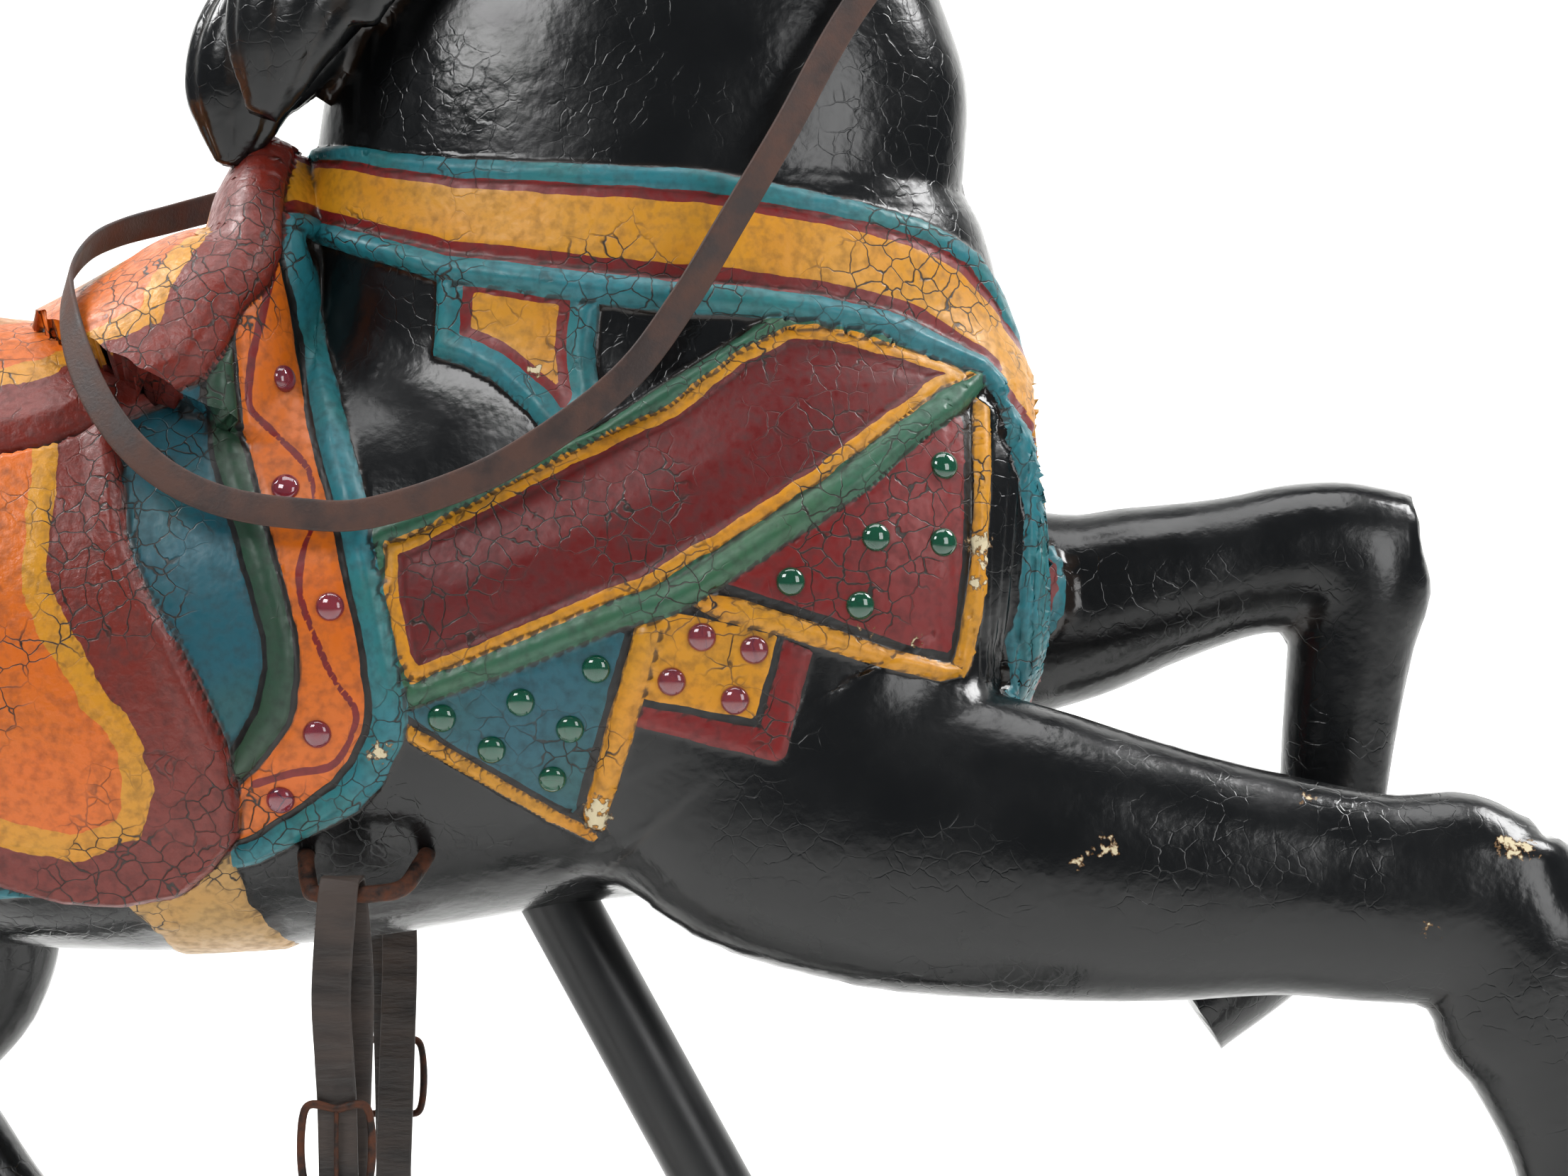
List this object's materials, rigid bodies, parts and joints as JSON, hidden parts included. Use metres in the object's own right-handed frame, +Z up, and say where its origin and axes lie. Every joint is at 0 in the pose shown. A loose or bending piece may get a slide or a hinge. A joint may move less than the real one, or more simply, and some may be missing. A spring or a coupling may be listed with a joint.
{
  "type": "carousel horse",
  "caption": "Carved wooden carousel horse, a jumper, with painted and jewelled trappings, rein and stirrups, on a two-tube steel stand.",
  "frame": {"origin": "on the floor, at the middle of the underside of the stand's long base bar", "axes": "+X the way the horse faces, +Z up, -Y the horse's richly dressed side"},
  "size_m": [1.6908, 0.62, 1.661],
  "materials": {
    "painted_wood": "black gloss enamel over carved wood, with crackled coloured trappings",
    "stand_steel": "satin black paint",
    "rein_leather": "worn brown strap, suede edge",
    "stirrup_leather": "old dark strap with cross wrinkles",
    "iron": "dark, rusty",
    "green_glass": "polished, foil backed",
    "pink_glass": "polished, foil backed"
  },
  "bodies": {
    "root": {"horse": "painted_wood", "stand": "stand_steel", "rein": "rein_leather", "rein_ring_near": "iron", "rein_ring_far": "iron", "stirrup_staple_near": "iron", "stirrup_staple_far": "iron", "stirrup_leather_near": "stirrup_leather", "stirrup_leather_far": "stirrup_leather", "stirrup_buckle_near": "iron", "stirrup_buckle_far": "iron", "stirrup_iron_near": "iron", "stirrup_iron_far": "iron", "green_jewel_1": "green_glass", "green_jewel_2": "green_glass", "green_jewel_3": "green_glass", "green_jewel_4": "green_glass", "green_jewel_5": "green_glass", "green_jewel_6": "green_glass", "green_jewel_7": "green_glass", "green_jewel_8": "green_glass", "green_jewel_9": "green_glass", "green_jewel_10": "green_glass", "green_jewel_11": "green_glass", "pink_jewel_1": "pink_glass", "pink_jewel_2": "pink_glass", "pink_jewel_3": "pink_glass", "pink_jewel_4": "pink_glass", "pink_jewel_5": "pink_glass", "pink_jewel_6": "pink_glass", "pink_jewel_7": "pink_glass", "pink_jewel_8": "pink_glass", "pink_jewel_9": "pink_glass"}
  },
  "joints": []
}
